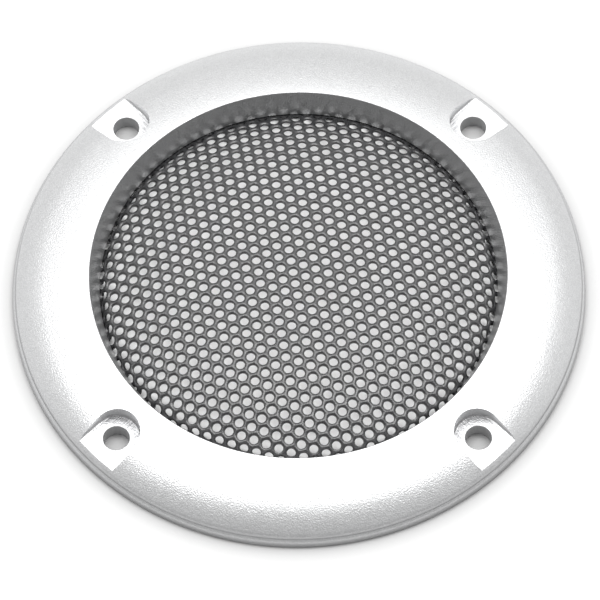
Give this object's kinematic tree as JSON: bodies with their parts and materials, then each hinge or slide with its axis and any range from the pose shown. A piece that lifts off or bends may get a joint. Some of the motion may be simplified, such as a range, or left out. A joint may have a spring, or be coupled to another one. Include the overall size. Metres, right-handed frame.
{
  "type": "loudspeaker grille cover",
  "caption": "Round silver trim ring with a domed black perforated mesh and open screw pockets, a protective cover for a small car loudspeaker or tweeter.",
  "frame": {"origin": "on the ring's axis, in the plane of the back face that lies on the panel", "axes": "+Z along the ring's axis towards the listener; the four screws stand on the diagonals between X and Y"},
  "size_m": [0.094, 0.094, 0.006],
  "materials": {
    "silver_paint": "satin metallic silver paint with a fine grain, on moulded ABS",
    "black_mesh": "semi-gloss black paint on perforated steel",
    "black_steel": "satin black paint on stamped steel"
  },
  "bodies": {
    "root": {"trim_ring": "silver_paint", "grille_mesh": "black_mesh", "retaining_ring": "black_steel"}
  },
  "joints": []
}
